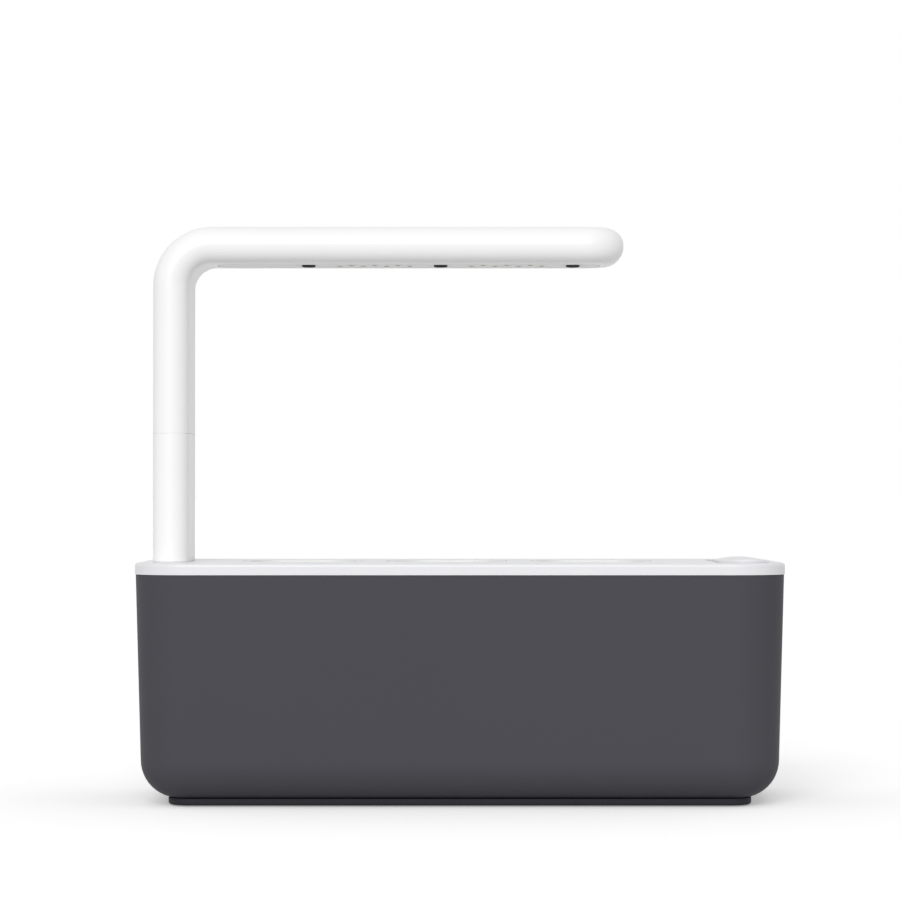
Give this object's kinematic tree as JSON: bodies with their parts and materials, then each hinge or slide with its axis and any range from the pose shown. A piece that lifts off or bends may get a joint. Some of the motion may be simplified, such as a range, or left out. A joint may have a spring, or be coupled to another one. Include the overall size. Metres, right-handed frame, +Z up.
{
  "type": "countertop hydroponic garden",
  "caption": "Low box-shaped water tank with a flat lid, plant cups and float level, and a bent lamp arm that plugs into the lid and reaches over the plants.",
  "frame": {"origin": "middle of the whole object's footprint, on the surface it stands on", "axes": "+X from the lamp post towards the arm's free end, +Y to the back, +Z up"},
  "size_m": [0.3, 0.125, 0.2687],
  "materials": {
    "tank_plastic": "fine satin texture",
    "plinth_plastic": "matte",
    "white_plastic": "soft gloss",
    "arm_plastic": "soft gloss",
    "inner_plastic": "as moulded",
    "panel_plastic": "satin",
    "cup_plastic": "satin",
    "black_plastic": "as moulded",
    "black_rubber": "matte",
    "contact_brass": "bright",
    "screw_steel": "zinc plated",
    "spreader_aluminium": "bare",
    "board_white": "solder mask",
    "board_green": "solder mask",
    "lamp_resin": "phosphor under clear resin",
    "wire_sheath": "smooth",
    "grow_medium": "fibrous",
    "label_paper": "uncoated paper",
    "wick_felt": "felt"
  },
  "bodies": {
    "tank": {"water_tank": "tank_plastic", "base_plinth": "plinth_plastic", "rubber_feet": "black_rubber"},
    "lid": {"lid_cover": "white_plastic", "socket_housing": "inner_plastic", "socket_cover": "inner_plastic", "socket_cover_screws": "screw_steel", "socket_seal": "black_rubber", "contact_block": "black_plastic", "contact_springs": "contact_brass", "dc_inlet": "black_plastic", "dc_inlet_pin": "contact_brass", "inlet_wires": "wire_sheath", "float_guide": "inner_plastic"},
    "float": {"float_cap": "white_plastic", "float_stem": "inner_plastic", "float_block": "inner_plastic"},
    "pod_left": {"plant_cup_left": "cup_plastic", "grow_plug_left": "grow_medium", "cup_label_left": "label_paper", "wick_left": "wick_felt"},
    "pod_middle": {"plant_cup_middle": "cup_plastic", "grow_plug_middle": "grow_medium", "cup_label_middle": "label_paper", "wick_middle": "wick_felt"},
    "pod_right": {"plant_cup_right": "cup_plastic", "grow_plug_right": "grow_medium", "cup_label_right": "label_paper", "wick_right": "wick_felt"},
    "extension": {"extension_shell": "arm_plastic", "extension_plug": "black_plastic", "extension_pins": "contact_brass", "extension_socket": "black_plastic", "extension_springs": "contact_brass", "extension_wires": "wire_sheath"},
    "lamp_arm": {"arm_shell": "arm_plastic", "lamp_plug": "black_plastic", "lamp_pins": "contact_brass", "led_cover": "panel_plastic", "panel_gasket": "black_rubber", "led_board": "board_white", "heat_spreader": "spreader_aluminium", "leds": "lamp_resin", "panel_screws": "screw_steel", "screw_plugs": "black_rubber", "driver_board": "board_green", "driver_parts": "black_plastic", "lamp_wires": "wire_sheath"}
  },
  "joints": [
    {"name": "lid_lift", "type": "slide", "parent": "tank", "child": "lid", "axis": [0, 0, 1], "range_m": [0, 0.1]},
    {"name": "cup_left_lift", "type": "slide", "parent": "lid", "child": "pod_left", "axis": [0, 0, 1], "range_m": [0, 0.06]},
    {"name": "cup_middle_lift", "type": "slide", "parent": "lid", "child": "pod_middle", "axis": [0, 0, 1], "range_m": [0, 0.06]},
    {"name": "cup_right_lift", "type": "slide", "parent": "lid", "child": "pod_right", "axis": [0, 0, 1], "range_m": [0, 0.06]},
    {"name": "float_travel", "type": "slide", "parent": "lid", "child": "float", "axis": [0, 0, 1], "range_m": [-0.022, 0]},
    {"name": "extension_pull", "type": "slide", "parent": "lid", "child": "extension", "axis": [0, 0, 1], "range_m": [0, 0.03]},
    {"name": "lamp_pull", "type": "slide", "parent": "extension", "child": "lamp_arm", "axis": [0, 0, 1], "range_m": [0, 0.03]}
  ]
}
